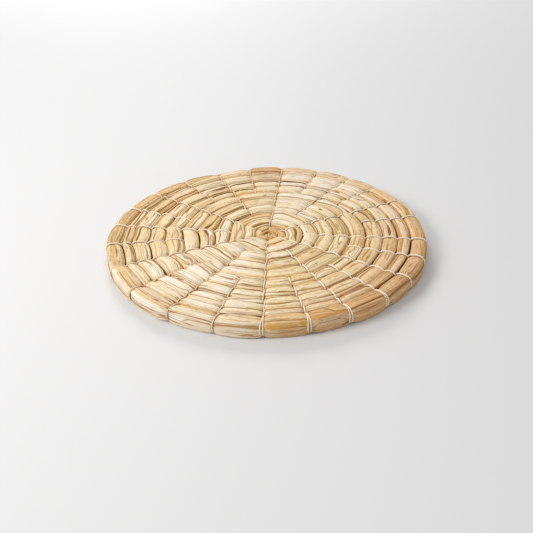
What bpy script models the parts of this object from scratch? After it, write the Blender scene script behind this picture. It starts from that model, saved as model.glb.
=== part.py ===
"""Round table mat of dried seagrass.

One long bundle of flat leaves is coiled up flat, clockwise from the middle outwards, and sewn along radial
lines. Between two stitches the bundle swells, and each stitch draws it in again. The last turn is laid along
a round rim, where the bundle's end runs out. Metres, +Z up, resting on z = 0, with the rim's middle at x = y = 0.
"""

import math
import random

import bmesh
import bpy
from mathutils import Vector

MAT_RADIUS = 0.1895
THICKNESS = 0.018

# The bundle's own width, which grows from a thin start as the first turns are laid.
BUNDLE_WIDTH = 0.019
THIN_START_SHARE = 0.55
THIN_START_TURNS = 1.6

# The coil's middle lies a little to one side of the rim's. Turn 0 is at this angle from it, and the bundle
# starts a little before that, this far from the coil's middle.
COIL_MIDDLE_X = 0.0028
START_DEGREES = -5.0
FIRST_TURN = -0.45
INNERMOST = 0.0006

# Angles of the radial sewing lines, in degrees from +X, in the order in which the bundle meets them.
SEWING_LINES = (
    -7.0, -20.5, -35.0, -49.0, -64.0, -78.0, -92.5, -108.0, -124.0, -141.5, -158.0, -174.5,
    -189.0, -203.0, -218.0, -233.0, -248.5, -262.5, -277.0, -292.5, -307.0, -320.5, -335.0, -349.0,
)
# From each turn outwards: one line in so many is sewn, counted from this one, and the swelling between two
# stitches has its full size at these shares of the way.
SEWN_FROM = (
    (6.0, 1, 0, (0.30, 0.70)),
    (3.0, 2, 0, (0.30, 0.70)),
    (-1.0, 4, 2, (0.20, 0.40, 0.60, 0.80)),
)

# The last turn keeps this width and follows the rim. Over the tail it thins out to the bundle's end, which is
# sewn down at one of the lines.
RIM_WIDTH = 0.0183
FULL_TURNS = 10
TAIL_STARTS = 10.63
TAIL_ENDS = FULL_TURNS + (START_DEGREES - SEWING_LINES[17]) / 360.0
TAIL_TIP_WIDTH = 0.0030
TAIL_TIP_HEIGHT = 0.0080

# Neighbouring turns lie this far apart. The groove between them wanders in slow waves, each given by its
# radians a turn and its phase, once the first turns are laid.
TURN_GAP = 0.0004
GROOVE_WANDER = 0.0003
WANDER_WAVES = ((9.7, 0.0), (14.3, 1.9), (23.1, 4.0))
WANDER_FROM_TURN = 0.5

# How far a stitch draws the bundle in: from above and below, at each side, and at the rim.
STITCH_DEPTH = 0.0018
STITCH_SIDE = 0.0003
STITCH_RIM = 0.0012

# How much the swellings differ in height, and at the rim in reach.
SWELLING_UNEVEN = 0.0008
RIM_UNEVEN = 0.0007

# The bundle's faces dip by this much at its thin start, and lie flat from this turn outwards.
START_DIP = 0.0032
FLAT_FROM_TURN = 3.0
TIP_DIP = 0.0018

# Each ring round the bundle has this many points, and a lower power makes its corners fuller.
SECTION_SIDES = 10
SECTION_POWER = 0.82

# Two places less than this many turns apart are one.
SAME_PLACE = 1e-6
SMOOTH_UP_TO = math.radians(50.0)

SEAGRASS = (0.72, 0.55, 0.33, 1.0)
SEAGRASS_ROUGHNESS = 0.6
SEED = 7


def clear_scene():
    for obj in list(bpy.data.objects):
        bpy.data.objects.remove(obj, do_unlink=True)


def smooth_step(share):
    share = min(max(share, 0.0), 1.0)
    return share * share * (3.0 - 2.0 * share)


def angle_at(turns):
    """The coil runs clockwise as seen from above."""
    return math.radians(START_DEGREES - 360.0 * turns)


def turns_at(whole_turns, line):
    """Where the bundle meets a sewing line, after so many whole turns."""
    return whole_turns + (START_DEGREES - SEWING_LINES[line]) / 360.0


def rim_distance(angle):
    """From the coil's middle to the round rim, whose own middle is at x = 0."""
    across = COIL_MIDDLE_X * math.sin(angle)
    return math.sqrt(MAT_RADIUS**2 - across**2) - COIL_MIDDLE_X * math.cos(angle)


def wander(turns):
    waves = sum(math.sin(speed * turns + phase) for speed, phase in WANDER_WAVES)
    return GROOVE_WANDER * waves * smooth_step(turns - WANDER_FROM_TURN)


def tail_share(turns):
    """0 along the bundle, rising to 1 at its end."""
    return smooth_step((turns - TAIL_STARTS) / (TAIL_ENDS - TAIL_STARTS))


def groove_distance(turns):
    """From the coil's middle to the bundle's inner side, which is also the outer side of the turn before."""
    if turns <= 0.0:
        return 0.0
    thin_start = THIN_START_SHARE * THIN_START_TURNS * (1.0 - math.exp(-turns / THIN_START_TURNS))
    free = BUNDLE_WIDTH * (turns - thin_start)
    rim = rim_distance(angle_at(turns))
    if free < rim - RIM_WIDTH:
        return free + wander(turns)
    if turns > TAIL_ENDS + SAME_PLACE:
        return rim
    return rim - RIM_WIDTH + (RIM_WIDTH - TAIL_TIP_WIDTH) * tail_share(turns)


def sewing_at(turns):
    """(one line in so many is sewn, the line counted from, where a swelling has its full size) at this turn."""
    for first_turn, step, counted_from, shares in SEWN_FROM:
        if turns >= first_turn:
            return step, counted_from, shares


def stitch_turns():
    """Every place along the bundle where it is sewn, in turns. The last is the bundle's end."""
    places = []
    for whole_turns in range(-1, FULL_TURNS + 1):
        for line in range(len(SEWING_LINES)):
            turns = turns_at(whole_turns, line)
            if FIRST_TURN < turns < TAIL_ENDS + SAME_PLACE:
                step, counted_from, _ = sewing_at(turns)
                if line % step == counted_from:
                    places.append(turns)
    return places


def stations():
    """(turns, swell, stitch) from the bundle's start to its end. Swell is 0 at a stitch and 1 between two."""
    places = stitch_turns()
    result = [(FIRST_TURN, 0.0, 0)]
    for number, (here, following) in enumerate(zip(places, places[1:])):
        result.append((here, 0.0, number))
        for share in sewing_at(here)[2]:
            result.append((here + share * (following - here), 1.0, number))
    result.append((places[-1], 0.0, len(places)))
    return result


def bundle_sides(turns, swell, rim_change):
    """(inner, outer) distance from the coil's middle."""
    drawn = 1.0 - swell
    inner = max(groove_distance(turns) + TURN_GAP / 2.0, INNERMOST) + STITCH_SIDE * drawn
    outer = groove_distance(turns + 1.0)
    if outer >= rim_distance(angle_at(turns)) - TURN_GAP:
        return inner, outer + rim_change * swell - STITCH_RIM * drawn * (1.0 - tail_share(turns))
    return inner, outer - TURN_GAP / 2.0 - STITCH_SIDE * drawn


def bundle_faces(turns, swell, top_change):
    """(bottom, top) height. Both faces dip towards the thin start in the middle and towards the tail's end."""
    drawn = 1.0 - swell
    dip = START_DIP * (1.0 - smooth_step(turns / FLAT_FROM_TURN))
    if turns < 0.0:
        dip += TIP_DIP * turns / FIRST_TURN
    dip += tail_share(turns) * (THICKNESS - TAIL_TIP_HEIGHT) / 2.0
    return dip + STITCH_DEPTH * drawn, THICKNESS - dip + top_change * swell - STITCH_DEPTH * drawn


def full_curve(value):
    """A sine or cosine with its sign kept and its corners made fuller."""
    return math.copysign(abs(value) ** SECTION_POWER, value)


def section(turns, sides, faces):
    """A closed ring of points round the bundle, in the upright plane through the coil's middle."""
    inner, outer = sides
    bottom, top = faces
    angle = angle_at(turns)
    outward = Vector((math.cos(angle), math.sin(angle), 0.0))
    half_step = math.pi / SECTION_SIDES
    ring = []
    for side in range(SECTION_SIDES):
        round_bundle = (2 * side + 1) * half_step - math.pi / 2.0
        across = full_curve(math.cos(round_bundle))
        upwards = full_curve(math.sin(round_bundle)) / full_curve(math.cos(half_step))
        distance = (inner + outer) / 2.0 + across * (outer - inner) / 2.0
        height = (bottom + top) / 2.0 + upwards * (top - bottom) / 2.0
        ring.append(Vector((COIL_MIDDLE_X, 0.0, height)) + outward * distance)
    return ring


def loft(name, rings):
    """One closed skin through rings of equally many points, capped at both ends."""
    skin = bmesh.new()
    rows = [[skin.verts.new(point) for point in ring] for ring in rings]
    for row, following in zip(rows, rows[1:]):
        for side in range(SECTION_SIDES):
            beside = (side + 1) % SECTION_SIDES
            skin.faces.new((row[side], following[side], following[beside], row[beside]))
    skin.faces.new(rows[0])
    skin.faces.new(reversed(rows[-1]))
    bmesh.ops.recalc_face_normals(skin, faces=skin.faces)
    mesh = bpy.data.meshes.new(name)
    skin.to_mesh(mesh)
    skin.free()
    mesh.shade_smooth()
    mesh.set_sharp_from_angle(angle=SMOOTH_UP_TO)
    return mesh


def seagrass_material():
    material = bpy.data.materials.new("dried_seagrass")
    material.use_nodes = True
    shader = material.node_tree.nodes["Principled BSDF"]
    shader.inputs["Base Color"].default_value = SEAGRASS
    shader.inputs["Roughness"].default_value = SEAGRASS_ROUGHNESS
    shader.inputs["Metallic"].default_value = 0.0
    return material


def coiled_bundle():
    uneven = random.Random(SEED)
    places = stations()
    top_changes = [-SWELLING_UNEVEN * uneven.random() for _ in places]
    rim_changes = [RIM_UNEVEN * uneven.uniform(-1.0, 1.0) for _ in places]
    rings = []
    for turns, swell, stitch in places:
        sides = bundle_sides(turns, swell, rim_changes[stitch])
        faces = bundle_faces(turns, swell, top_changes[stitch])
        rings.append(section(turns, sides, faces))
    coil = bpy.data.objects.new("seagrass_coil", loft("seagrass_coil", rings))
    coil.data.materials.append(seagrass_material())
    return coil


def build():
    clear_scene()
    placemat = bpy.data.collections.new("seagrass_placemat")
    bpy.context.scene.collection.children.link(placemat)
    placemat.objects.link(coiled_bundle())


build()
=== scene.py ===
# A round placemat of dried seagrass: a bundle of leaves, coiled up flat and sewn along radial lines with pale
# twine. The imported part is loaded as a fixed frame, and its coil is dressed with leaves and twine. A floor,
# two soft lights and a camera are added.
import bisect
import functools
import math
import random

import bpy
import numpy as np
from mathutils import Matrix, Vector


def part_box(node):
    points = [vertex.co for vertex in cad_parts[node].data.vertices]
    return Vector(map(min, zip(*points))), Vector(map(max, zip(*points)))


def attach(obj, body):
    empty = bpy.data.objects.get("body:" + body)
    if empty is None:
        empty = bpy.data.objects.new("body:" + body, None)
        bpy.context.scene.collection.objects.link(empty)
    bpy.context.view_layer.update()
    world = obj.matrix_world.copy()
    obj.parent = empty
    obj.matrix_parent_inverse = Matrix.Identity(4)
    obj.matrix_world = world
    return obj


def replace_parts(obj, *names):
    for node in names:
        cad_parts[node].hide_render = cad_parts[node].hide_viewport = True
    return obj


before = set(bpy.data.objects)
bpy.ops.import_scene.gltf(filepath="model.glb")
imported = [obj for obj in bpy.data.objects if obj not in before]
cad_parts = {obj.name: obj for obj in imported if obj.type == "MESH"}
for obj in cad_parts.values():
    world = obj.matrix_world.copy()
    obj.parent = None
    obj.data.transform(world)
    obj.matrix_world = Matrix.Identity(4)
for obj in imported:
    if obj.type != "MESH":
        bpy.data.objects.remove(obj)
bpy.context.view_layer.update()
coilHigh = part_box("seagrass_coil")[1]
print("frame loaded, with the nodes", sorted(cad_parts))


def operator(operation, isReflected=False):
    # A method that adds the node for this operation on a value and what stands beside it.
    def work(self, *others):
        parts = (*others, self) if isReflected else (self, *others)
        return self.tree.work(operation, *parts)
    return work


class Value:
    # A node's output. Sums and products of values add the Math or Vector Math nodes that work them out.
    def __init__(self, tree, socket):
        self.tree = tree
        self.socket = socket

    __add__, __radd__ = operator("ADD"), operator("ADD", True)
    __sub__, __rsub__ = operator("SUBTRACT"), operator("SUBTRACT", True)
    __mul__, __rmul__ = operator("MULTIPLY"), operator("MULTIPLY", True)
    __truediv__, __rtruediv__ = operator("DIVIDE"), operator("DIVIDE", True)
    __pow__, __abs__ = operator("POWER"), operator("ABSOLUTE")


def isVector(part):
    if isinstance(part, Value):
        return part.socket.type in ("VECTOR", "RGBA")
    return isinstance(part, (tuple, Vector))


class Tree:
    # Adds nodes to a shader's tree or to a Geometry Nodes tree.
    def __init__(self, nodeTree):
        self.nodeTree = nodeTree

    def node(self, kind, settings=None, sockets=None, output=None):
        # The settings come first, because they decide which sockets there are. A socket is named, or counted
        # among those in use.
        made = self.nodeTree.nodes.new(kind)
        for name, setting in (settings or {}).items():
            if name == "stops":
                self.setStops(made.color_ramp, setting)
            else:
                setattr(made, name, setting)
        for name, value in (sockets or {}).items():
            used = [socket for socket in made.inputs if socket.enabled]
            socket = used[name] if isinstance(name, int) else next(s for s in used if s.name == name)
            if isinstance(value, Value):
                self.nodeTree.links.new(value.socket, socket)
            else:
                socket.default_value = value
        results = [socket for socket in made.outputs if socket.enabled]
        if not results:
            return made
        return Value(self, made.outputs[output] if output else results[0])

    def setStops(self, ramp, stops):
        while len(ramp.elements) < len(stops):
            ramp.elements.new(1.0)
        for element, (place, colour) in zip(ramp.elements, stops):
            element.position = place
            element.color = (*colour, 1.0)

    def work(self, operation, *parts):
        vectors = [isVector(part) for part in parts]
        kind, sockets = "ShaderNodeVectorMath", dict(enumerate(parts))
        if not any(vectors):
            kind = "ShaderNodeMath"
        elif operation == "MULTIPLY" and not all(vectors):
            vector, number = parts if vectors[0] else reversed(parts)
            operation, sockets = "SCALE", {"Vector": vector, "Scale": number}
        return self.node(kind, {"operation": operation}, sockets)

    def vector(self, x, y, z):
        return self.node("ShaderNodeCombineXYZ", None, {0: x, 1: y, 2: z})

    def split(self, vector):
        # The vector's x, y and z.
        parts = self.node("ShaderNodeSeparateXYZ", None, {0: vector})
        return [Value(self, socket) for socket in parts.socket.node.outputs]

    def attribute(self, name):
        return self.node("ShaderNodeAttribute", {"attribute_name": name}, None, "Fac")

    def objectPlace(self):
        return self.node("ShaderNodeTexCoord", None, None, "Object")

    def noise(self, place, detail=1.0, roughness=0.5):
        # From 0 to 1, with its humps about one unit of the place apart.
        sockets = {"Vector": place, "Scale": 1.0, "Detail": detail, "Roughness": roughness}
        return self.node("ShaderNodeTexNoise", None, sockets, "Fac")

    def between(self, low, high, value):
        # 0 at low and 1 at high, with a smooth change between them, also where low is the larger number.
        sockets = {"Value": value, "From Min": low, "From Max": high, "To Min": 0.0, "To Max": 1.0}
        return self.node("ShaderNodeMapRange", {"interpolation_type": "SMOOTHSTEP"}, sockets)

    def blend(self, share, first, second):
        # Colours mixed by a share. A colour is a value, or red, green and blue.
        first, second = ((*c, 1.0) if isinstance(c, tuple) else c for c in (first, second))
        return self.node("ShaderNodeMix", {"data_type": "RGBA"}, {"Factor": share, "A": first, "B": second})


# The coil's sizes in metres, turns and degrees, as the part has them. Its height comes from the frame.
coil = {
    "matRadius": 0.1895,
    "thickness": coilHigh.z,
    "bundleWidth": 0.019,
    "thinStartShare": 0.55,
    "thinStartTurns": 1.6,
    "middleX": 0.0028,
    "startDegrees": -5.0,
    "firstTurn": -0.45,
    "innermost": 0.0006,
    "rimWidth": 0.0183,
    "fullTurns": 10,
    "tailStarts": 10.63,
    "tailLine": 17,
    "tailTipWidth": 0.0030,
    "tailTipHeight": 0.0080,
    "turnGap": 0.0004,
    "grooveWander": 0.0003,
    "wanderWaves": ((9.7, 0.0), (14.3, 1.9), (23.1, 4.0)),
    "wanderFromTurn": 0.5,
    "swellingUneven": 0.0008,
    "rimUneven": 0.0007,
    "startDip": 0.0032,
    "flatFromTurn": 3.0,
    "tipDip": 0.0018,
    "samePlace": 1e-6,
    "seed": 7,
    # Angles of the sewing lines in degrees, in the order in which the bundle meets them.
    "sewingLines": (
        -7.0, -20.5, -35.0, -49.0, -64.0, -78.0, -92.5, -108.0, -124.0, -141.5, -158.0, -174.5,
        -189.0, -203.0, -218.0, -233.0, -248.5, -262.5, -277.0, -292.5, -307.0, -320.5, -335.0, -349.0,
    ),
    # From each turn outwards: one line in so many is sewn, counted from this one, the share of the way over
    # which a swelling rises, and the sections that the part's solid has between two stitches.
    "sewnFrom": ((6.0, 1, 0, 0.30, 2), (3.0, 2, 0, 0.30, 2), (-1.0, 4, 2, 0.20, 4)),
}


# How the leaves fill that form: a stitch draws them in further than the solid shows, from above and below, at
# each side and at the rim. Their section is full in a swelling and rounder at a stitch.
skin = {
    "stitchDepth": 0.0021,
    "stitchSide": 0.0008,
    "stitchRim": 0.0012,
    "swellPower": 0.55,
    "sectionPower": 0.5,
    "stitchPower": 0.8,
}


def smoothStep(share):
    share = min(max(share, 0.0), 1.0)
    return share * share * (3.0 - 2.0 * share)


def angleAt(turns):
    # The coil runs clockwise as seen from above.
    return math.radians(coil["startDegrees"] - 360.0 * turns)


def degreesAt(turns):
    return math.degrees(angleAt(turns))


def turnsAt(wholeTurns, line):
    return wholeTurns + (coil["startDegrees"] - coil["sewingLines"][line]) / 360.0


tailEnds = turnsAt(coil["fullTurns"], coil["tailLine"])


def tailShare(turns):
    return smoothStep((turns - coil["tailStarts"]) / (tailEnds - coil["tailStarts"]))


def rimDistance(angle):
    # From the coil's middle to the round rim, whose own middle is at x = 0.
    across = coil["middleX"] * math.sin(angle)
    return math.sqrt(coil["matRadius"] ** 2 - across**2) - coil["middleX"] * math.cos(angle)


@functools.cache
def grooveDistance(turns):
    # From the coil's middle to the bundle's inner side, which is also the outer side of the turn before.
    if turns <= 0.0:
        return 0.0
    thinTurns = coil["thinStartTurns"]
    thinStart = coil["thinStartShare"] * thinTurns * (1.0 - math.exp(-turns / thinTurns))
    free = coil["bundleWidth"] * (turns - thinStart)
    rim = rimDistance(angleAt(turns))
    if free < rim - coil["rimWidth"]:
        waves = sum(math.sin(speed * turns + phase) for speed, phase in coil["wanderWaves"])
        return free + coil["grooveWander"] * waves * smoothStep(turns - coil["wanderFromTurn"])
    if turns > tailEnds + coil["samePlace"]:
        return rim
    return rim - coil["rimWidth"] + (coil["rimWidth"] - coil["tailTipWidth"]) * tailShare(turns)


def isAtRim(turns):
    return grooveDistance(turns + 1.0) >= rimDistance(angleAt(turns)) - coil["turnGap"]


# Between two stitches the bundle runs straight and fills out towards the coil's middle. Each pattern of
# stitches has one line in so many, counted from this one, and its share of the bow by turn.
bow = {
    "full": 0.05,  # how far it fills out, as a share of the way between two stitches
    "power": 2.2,
    "patterns": (
        (4, 2, ((3.0, 1.0), (5.0, 0.0))),
        (2, 0, ((3.0, 0.0), (5.0, 1.0), (6.0, 1.0), (8.0, 0.0))),
        (1, 0, ((6.0, 0.0), (7.0, 1.0), (9.5, 1.0), (10.0, 0.7))),
    ),
    "rimShare": 0.5,
    "byAngle": (
        (-180, 1.0), (-150, 0.85), (-125, 0.5), (-100, 0.2), (-60, 0.25), (-40, 0.25), (0, 0.1),
        (30, 0.1), (60, 0.1), (90, 0.15), (120, 0.3), (150, 0.85), (180, 1.0),
    ),
}


def lookUp(table, place):
    # A value between the rows of a table of (place, value).
    return float(np.interp(place, *zip(*table)))


def byAngle(table, degrees):
    # The same for a table by degrees from +X.
    return lookUp(table, (degrees + 180.0) % 360.0 - 180.0)


def bowShape(turns, step, countedFrom):
    # (0 at a line and 1 halfway to the next, half of the angle between the two)
    marks = [(coil["startDegrees"] - line) / 360.0 for line in coil["sewingLines"][countedFrom::step]]
    marks = [marks[-1] - 1.0, *marks, marks[0] + 1.0]
    part = turns % 1.0
    number = bisect.bisect_right(marks, part)
    here, following = marks[number - 1], marks[number]
    share = (part - here) / (following - here)
    return 1.0 - abs(2.0 * share - 1.0) ** bow["power"], math.pi * (following - here)


@functools.cache
def bowedGroove(turns):
    reach = grooveDistance(turns)
    bowed = 0.0
    for step, countedFrom, byTurn in bow["patterns"]:
        shape, half = bowShape(turns, step, countedFrom)
        depth = 1.0 - math.cos(half) + bow["full"] * 2.0 * half
        bowed += depth * shape * lookUp(byTurn, turns)
    return reach * (1.0 - bowed * byAngle(bow["byAngle"], degreesAt(turns)))


def sewingAt(turns):
    return next(row for row in coil["sewnFrom"] if turns >= row[0])


def findStitches():
    # Every place along the bundle where it is sewn, as (turns, line).
    places = []
    for wholeTurns in range(-1, coil["fullTurns"] + 1):
        for line in range(len(coil["sewingLines"])):
            turns = turnsAt(wholeTurns, line)
            if coil["firstTurn"] < turns < tailEnds + coil["samePlace"]:
                step, countedFrom = sewingAt(turns)[1:3]
                if line % step == countedFrom:
                    places.append((turns, line))
    return places


stitches = findStitches()
sewnTurns = [turns for turns, line in stitches]

# The part's own random changes in height and at the rim. It draws one for each section of its solid.
sectionCount = 2 + sum(1 + sewingAt(turns)[4] for turns in sewnTurns[:-1])
uneven = random.Random(coil["seed"])
topChanges = [-coil["swellingUneven"] * uneven.random() for _ in range(sectionCount)]
rimChanges = [coil["rimUneven"] * uneven.uniform(-1.0, 1.0) for _ in range(sectionCount)]


@functools.cache
def swellAt(turns):
    # (0 at a stitch and 1 in the middle of a swelling, number of the stitch before)
    number = bisect.bisect_right(sewnTurns, turns + coil["samePlace"]) - 1
    if number < 0 or number >= len(sewnTurns) - 1:
        return 0.0, max(number, 0)
    here, following = sewnTurns[number], sewnTurns[number + 1]
    share = min(max((turns - here) / (following - here), 0.0), 1.0)
    rise = min(min(share, 1.0 - share) / sewingAt(here)[3], 1.0)
    return (rise * (2.0 - rise)) ** skin["swellPower"], number


@functools.cache
def bundleAt(turns):
    # (inner side, outer side, bottom, top), the sides as distances from the coil's middle
    swell, number = swellAt(turns)
    drawn = 1.0 - swell
    inner = max(bowedGroove(turns) + coil["turnGap"] / 2.0, coil["innermost"]) + skin["stitchSide"] * drawn
    if isAtRim(turns):
        shape, half = bowShape(turns, 1, 0)
        outer = grooveDistance(turns + 1.0) * (1.0 - bow["rimShare"] * shape * (1.0 - math.cos(half)))
        outer += rimChanges[number] * swell - skin["stitchRim"] * drawn * (1.0 - tailShare(turns))
    else:
        outer = bowedGroove(turns + 1.0) - coil["turnGap"] / 2.0 - skin["stitchSide"] * drawn
    dip = coil["startDip"] * (1.0 - smoothStep(turns / coil["flatFromTurn"]))
    if turns < 0.0:
        dip += coil["tipDip"] * turns / coil["firstTurn"]
    dip += tailShare(turns) * (coil["thickness"] - coil["tailTipHeight"]) / 2.0
    dip += skin["stitchDepth"] * drawn
    return inner, outer, dip, coil["thickness"] - dip + topChanges[number] * swell


def bundleHalves(turns):
    # (middle, half size) as pairs of distance and height
    inner, outer, bottom, top = bundleAt(turns)
    return ((inner + outer) / 2.0, (bottom + top) / 2.0), ((outer - inner) / 2.0, (top - bottom) / 2.0)


# At the front and the back the bundle lies flatter, its leaves have less relief and their tones differ less.
flatPart = {
    "byAngle": (
        (-180, 0.0), (-120, 0.1), (-105, 0.9), (-95, 1.2), (-30, 1.2), (-15, 0.2), (30, 0.1),
        (60, 0.8), (85, 1.3), (110, 1.3), (135, 0.9), (158, 0.1), (180, 0.0),
    ),
    "sectionPower": 0.40,
    "relief": 0.6,
    "toneSpread": 0.65,
}


def flatter(turns, usual, flat):
    return usual + (flat - usual) * byAngle(flatPart["byAngle"], degreesAt(turns))


def fullCurve(value, power):
    return math.copysign(abs(value) ** power, value)


def skinPoint(turns, around, sunk=0.0):
    # (distance, height) on the bundle's skin. Around is 0 on the outer side and a quarter turn on top.
    (reach, level), (halfWidth, halfHeight) = bundleHalves(turns)
    full = flatter(turns, skin["sectionPower"], flatPart["sectionPower"])
    power = skin["stitchPower"] + (full - skin["stitchPower"]) * swellAt(turns)[0]
    distance = reach + fullCurve(math.cos(around), power) * (halfWidth - sunk)
    height = level + fullCurve(math.sin(around), power) * (halfHeight - sunk)
    return np.array((distance, height))


def inSpace(turns, flat):
    # A vector (outwards, up) in the upright plane through the coil's middle, as x, y and z.
    angle = angleAt(turns)
    return np.array((math.cos(angle) * flat[0], math.sin(angle) * flat[0], flat[1]))


coilMiddle = np.array((coil["middleX"], 0.0, 0.0))

# Lengths along the bundle's middle, so that leaves and their ends are laid in metres.
tableSteps = 6000
tableTurns = np.linspace(coil["firstTurn"], tailEnds, tableSteps)
tableReach = np.array([bundleHalves(float(turns))[0][0] for turns in tableTurns])
tableLengths = np.concatenate(((0.0,), np.cumsum(2.0 * math.pi * np.diff(tableTurns) * tableReach[1:])))
bundleLength = float(tableLengths[-1])


def turnsAlong(place):
    return float(np.interp(place, tableLengths, tableTurns))


print("coil worked out,", round(bundleLength, 2), "m of bundle and", len(stitches), "stitches")


def addObject(name, data):
    made = bpy.data.objects.new(name, data)
    bpy.context.scene.collection.objects.link(made)
    return made


def makeLines(name, runs, vectors, numbers, closed=False):
    # A mesh of edges alone. Each run is a list of points, each a dictionary of the named vectors and numbers.
    mesh = bpy.data.meshes.new(name)
    points = [point for run in runs for point in run]
    edges = []
    first = 0
    for run in runs:
        edges += [(first + k, first + k + 1) for k in range(len(run) - 1)]
        if closed:
            edges.append((first + len(run) - 1, first))
        first += len(run)
    mesh.from_pydata([point["place"] for point in points], edges, [])
    for field in vectors:
        layer = mesh.attributes.new(field, "FLOAT_VECTOR", "POINT")
        layer.data.foreach_set("vector", np.array([point[field] for point in points], np.float32).ravel())
    for field in numbers:
        layer = mesh.attributes.new(field, "FLOAT", "POINT")
        layer.data.foreach_set("value", np.array([point[field] for point in points], np.float32))
    return mesh


def newNodeTree(name, inputs):
    # A Geometry Nodes tree with named inputs, and the values that they give inside it.
    group = bpy.data.node_groups.new(name, "GeometryNodeTree")
    group.is_modifier = True
    kinds = {"int": "NodeSocketInt", "float": "NodeSocketFloat", "material": "NodeSocketMaterial"}
    group.interface.new_socket("Geometry", in_out="INPUT", socket_type="NodeSocketGeometry")
    group.interface.new_socket("Geometry", in_out="OUTPUT", socket_type="NodeSocketGeometry")
    for label, kind in inputs.items():
        group.interface.new_socket(label, in_out="INPUT", socket_type=kinds[kind])
    tree = Tree(group)
    entry = group.nodes.new("NodeGroupInput")
    return tree, {socket.name: Value(tree, socket) for socket in entry.outputs if socket.name}


def named(tree, name, kind="FLOAT"):
    return tree.node("GeometryNodeInputNamedAttribute", {"data_type": kind}, {"Name": name})


def store(tree, geometry, name, value, kind="FLOAT", domain="POINT"):
    sockets = {"Geometry": geometry, "Name": name, "Value": value}
    return tree.node("GeometryNodeStoreNamedAttribute", {"data_type": kind, "domain": domain}, sockets)


def endTree(tree, geometry, material, dropped):
    # Every tree ends like this. The attributes that only it needs are dropped.
    for name in dropped:
        geometry = tree.node("GeometryNodeRemoveAttribute", None, {"Geometry": geometry, "Name": name})
    geometry = tree.node("GeometryNodeRealizeInstances", None, {"Geometry": geometry})
    geometry = tree.node("GeometryNodeSetShadeSmooth", None, {"Geometry": geometry})
    geometry = tree.node("GeometryNodeSetMaterial", None, {"Geometry": geometry, "Material": material})
    leave = tree.nodeTree.nodes.new("NodeGroupOutput")
    tree.nodeTree.links.new(geometry.socket, leave.inputs[0])


def grow(name, lines, group, inputs):
    # Runs a Geometry Nodes tree on the lines, and keeps the result as a plain mesh.
    piece = addObject(name, lines)
    modifier = piece.modifiers.new("grow", "NODES")
    modifier.node_group = group
    for item in group.interface.items_tree:
        if item.in_out == "INPUT" and item.name in inputs:
            modifier[item.identifier] = inputs[item.name]
    view = bpy.context.evaluated_depsgraph_get()
    grown = piece.evaluated_get(view)
    mesh = bpy.data.meshes.new_from_object(grown, preserve_all_data_layers=True, depsgraph=view)
    piece.modifiers.remove(modifier)
    piece.data = mesh
    mesh.name = name
    print(name, "has", sum(len(face.vertices) - 2 for face in mesh.polygons), "triangles")
    return piece


# How the leaves are laid in the bundle. Lengths are in metres, and widths are shares of one lane of them.
leafLayout = {
    "lanes": 9,
    "twistDegrees": 50.0,  # how far the bundle turns in a metre
    "edgeJitter": 0.26,  # how unequal the lanes are in one section
    "edgeSlope": 0.30,  # how far a lane's edge leans over one section
    "straightFrom": 0.3,  # share of a section, at each stitch, over which a lane moves to the next section's
    "sectionsLong": (1, 1, 1, 2, 2, 3),  # how many swellings a leaf runs through
    "longestTurns": 0.21,  # how far round the coil it reaches at most, unless one swelling is longer
    "overlap": (0.0012, 0.0028),  # how far it reaches past the stitch that holds its end
    "width": (0.90, 1.12),
    "rimWidth": 1.2,  # how much wider the leaves of the rim are, save the wide ones
    # How many of the leaves are wide, by degrees from +X.
    "wideShare": (
        (-180, 0.22), (-150, 0.35), (-120, 0.5), (-90, 0.75), (-45, 0.75), (-20, 0.35), (40, 0.25),
        (60, 0.6), (105, 0.75), (125, 0.5), (150, 0.25), (180, 0.22),
    ),
    "wideWidth": (1.45, 2.0),
    "lift": (-0.0008, -0.0002),  # how far outside the bundle's form it lies
    "wideLift": (0.0002, 0.0005),
    "tilt": (0.0002, 0.0006),  # how far one side of it is raised and the other sunk
    # Which side that is, and how much of the tilt there is: 1 raises the side towards the coil's middle.
    "tiltShare": (
        (-180, 1.0), (-165, 0.7), (-150, -0.8), (-110, -0.8), (-90, -0.6), (-45, -0.7),
        (-25, 0.6), (0, 1.0), (45, 0.8), (60, 0.4), (130, 0.4), (150, 0.8), (180, 1.0),
    ),
    "rimTilt": 0.2,  # how much of their tilt the leaves of the rim keep
    "drift": 0.2,  # how far it strays across its lane over its length, either way
    "wave": 0.05,  # how far it waves, and how far its width does
    "widthWave": 0.07,
    "waveLengths": (0.19, 0.083, 0.041),
    "endLength": 0.0035,  # over this length at its ends it sinks in and narrows
    "endRings": (0.0, 0.3, 0.65),  # shares of that length at which it has rings
    "endSunk": 0.0009,
    "endWidth": 0.8,
    "endRelief": 0.3,
    "openEnds": 0.10,  # share of the leaves that end on top of the next one
    "openShare": (0.25, 0.7),  # how far before the stitch they end, as a share of the section
    "openLift": 0.0004,
    "taperLength": (0.007, 0.016),
    "tipWidth": 0.25,
    "pressedFlat": 0.35,  # share of a leaf's relief that is left under a stitch
    "hiddenDegrees": 8.0,  # leaves this near to a neighbouring turn's side aren't laid
    "stationShares": (0.0, 0.035, 0.09, 0.17, 0.28, 0.42, 0.58, 0.72, 0.83, 0.91, 0.965),
    "nearest": 0.0007,  # rings closer together than this are left out
    "looks": (0.0, 100.0),  # range of the number that sets a leaf's own pattern
    "seed": 21,
}

# Places of the bundle's start and of every stitch, in metres along the bundle. A section lies between two.
sectionTurns = (coil["firstTurn"], *sewnTurns)
sectionEnds = [float(place) for place in np.interp(sectionTurns, tableTurns, tableLengths)]


def lengthsAtStations():
    # Places along the bundle where every leaf has a ring, closer together beside the stitches.
    places = []
    for here, following in zip(sectionEnds, sectionEnds[1:]):
        places += [here + share * (following - here) for share in leafLayout["stationShares"]]
    return np.array([*places, sectionEnds[-1]])


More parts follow.
